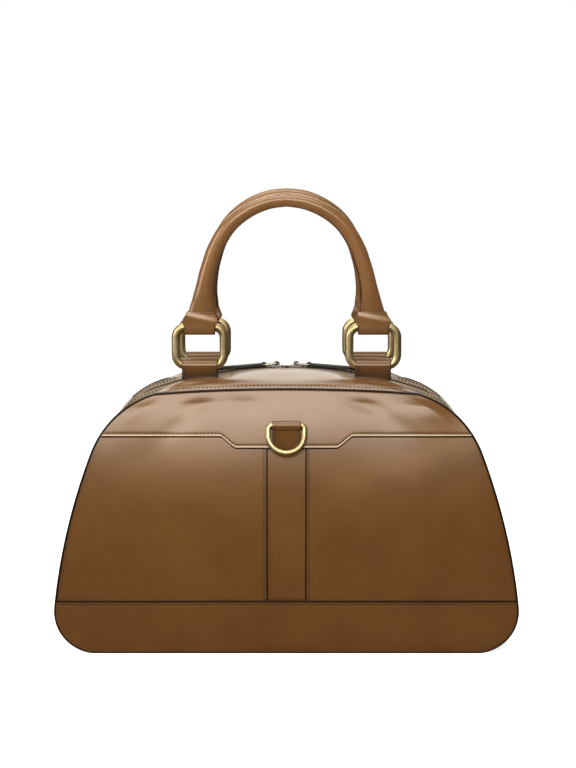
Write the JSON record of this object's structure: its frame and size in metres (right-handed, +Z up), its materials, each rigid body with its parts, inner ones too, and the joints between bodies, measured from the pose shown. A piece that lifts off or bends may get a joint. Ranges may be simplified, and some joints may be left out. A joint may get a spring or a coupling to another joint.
{
  "type": "handbag",
  "caption": "Domed leather top-handle bag with canvas gussets, a two-way zip over the top, rolled handles on metal rings and a hanging D-ring on the front.",
  "frame": {"origin": "on the floor under the middle of the base", "axes": "+Z up, -Y the front with the D-ring, +X along the bag to the right as the front is faced"},
  "size_m": [0.3706, 0.1616, 0.3709],
  "materials": {
    "calf_leather": "smooth semi-gloss calf",
    "painted_edge": "painted leather edge",
    "stiff_board": "bonded fibre board",
    "canvas": "plain woven canvas",
    "lining_cloth": "cotton lining",
    "zip_tape": "woven zip tape",
    "dark_metal": "dark nickel plate",
    "dark_leather": "dark smooth leather",
    "handle_core": "soft foam cord",
    "antique_brass": "brushed antique brass"
  },
  "bodies": {
    "bag": {"front_backing": "stiff_board", "front_centre_strip": "calf_leather", "front_panel_left": "calf_leather", "front_panel_right": "calf_leather", "front_yoke": "calf_leather", "front_base_band": "calf_leather", "front_piping": "painted_edge", "rear_backing": "stiff_board", "rear_panel": "calf_leather", "rear_yoke": "calf_leather", "rear_base_band": "calf_leather", "rear_piping": "painted_edge", "gusset_left": "canvas", "gusset_right": "canvas", "base_panel": "calf_leather", "base_board": "stiff_board", "lining": "lining_cloth", "d_ring_tab": "calf_leather"},
    "d_ring": {"d_ring": "antique_brass"},
    "front_roof": {"roof_panel_front": "calf_leather", "zip_tape_front": "zip_tape", "zip_teeth_front": "dark_metal", "handle_base_front_left": "calf_leather", "handle_base_front_right": "calf_leather"},
    "rear_roof": {"roof_panel_rear": "calf_leather", "zip_tape_rear": "zip_tape", "zip_teeth_rear": "dark_metal", "handle_base_rear_left": "calf_leather", "handle_base_rear_right": "calf_leather"},
    "front_rings": {"ring_front_left": "antique_brass", "ring_front_right": "antique_brass"},
    "rear_rings": {"ring_rear_left": "antique_brass", "ring_rear_right": "antique_brass"},
    "front_handle": {"handle_front": "calf_leather", "handle_core_front": "handle_core", "handle_tab_front_left": "calf_leather", "handle_tab_front_right": "calf_leather"},
    "rear_handle": {"handle_rear": "calf_leather", "handle_core_rear": "handle_core", "handle_tab_rear_left": "calf_leather", "handle_tab_rear_right": "calf_leather"},
    "left_slider": {"zip_slider_left": "dark_metal"},
    "right_slider": {"zip_slider_right": "dark_metal"},
    "left_pull": {"pull_link_left": "dark_metal", "pull_tab_left": "dark_leather"},
    "right_pull": {"pull_link_right": "dark_metal", "pull_tab_right": "dark_leather"}
  },
  "joints": [
    {"name": "mouth_front", "type": "hinge", "parent": "bag", "child": "front_roof", "pos_m": [0, -0.052, 0.212], "axis": [-1, 0, 0], "range_deg": [-70, 0], "deforming": ["zip_tape_front", "zip_teeth_front"]},
    {"name": "mouth_rear", "type": "hinge", "parent": "bag", "child": "rear_roof", "pos_m": [0, 0.052, 0.212], "axis": [1, 0, 0], "range_deg": [-70, 0], "deforming": ["zip_tape_rear", "zip_teeth_rear"]},
    {"name": "slider_left", "type": "hinge", "parent": "bag", "child": "left_slider", "pos_m": [0, 0, -0.122], "axis": [0, -1, 0], "range_deg": [0, 16.5]},
    {"name": "slider_right", "type": "hinge", "parent": "bag", "child": "right_slider", "pos_m": [0, 0, -0.122], "axis": [0, 1, 0], "range_deg": [0, 16.5]},
    {"name": "pull_left", "type": "hinge", "parent": "left_slider", "child": "left_pull", "pos_m": [-0.00805, 0, 0.22526], "axis": [0, 1, 0], "range_deg": [0, 90]},
    {"name": "pull_right", "type": "hinge", "parent": "right_slider", "child": "right_pull", "pos_m": [0.00805, 0, 0.22526], "axis": [0, -1, 0], "range_deg": [0, 90]},
    {"name": "rings_front", "type": "hinge", "parent": "front_roof", "child": "front_rings", "pos_m": [0, -0.03, 0.2265], "axis": [1, 0, 0], "range_deg": [-4, 70]},
    {"name": "rings_rear", "type": "hinge", "parent": "rear_roof", "child": "rear_rings", "pos_m": [0, 0.03, 0.2265], "axis": [-1, 0, 0], "range_deg": [-4, 70]},
    {"name": "handle_front", "type": "hinge", "parent": "front_rings", "child": "front_handle", "pos_m": [0, -0.03, 0.2585], "axis": [1, 0, 0], "range_deg": [-5, 80]},
    {"name": "handle_rear", "type": "hinge", "parent": "rear_rings", "child": "rear_handle", "pos_m": [0, 0.03, 0.2585], "axis": [-1, 0, 0], "range_deg": [-5, 80]},
    {"name": "d_ring", "type": "hinge", "parent": "bag", "child": "d_ring", "pos_m": [0, -0.06783, 0.1827], "axis": [-1, 0, 0], "range_deg": [0, 100]}
  ],
  "couplings": [
    {"joint": "mouth_rear", "follows": "mouth_front", "ratio": 1},
    {"joint": "slider_left", "follows": "mouth_front", "ratio": -0.2357},
    {"joint": "slider_right", "follows": "mouth_front", "ratio": -0.2357}
  ]
}
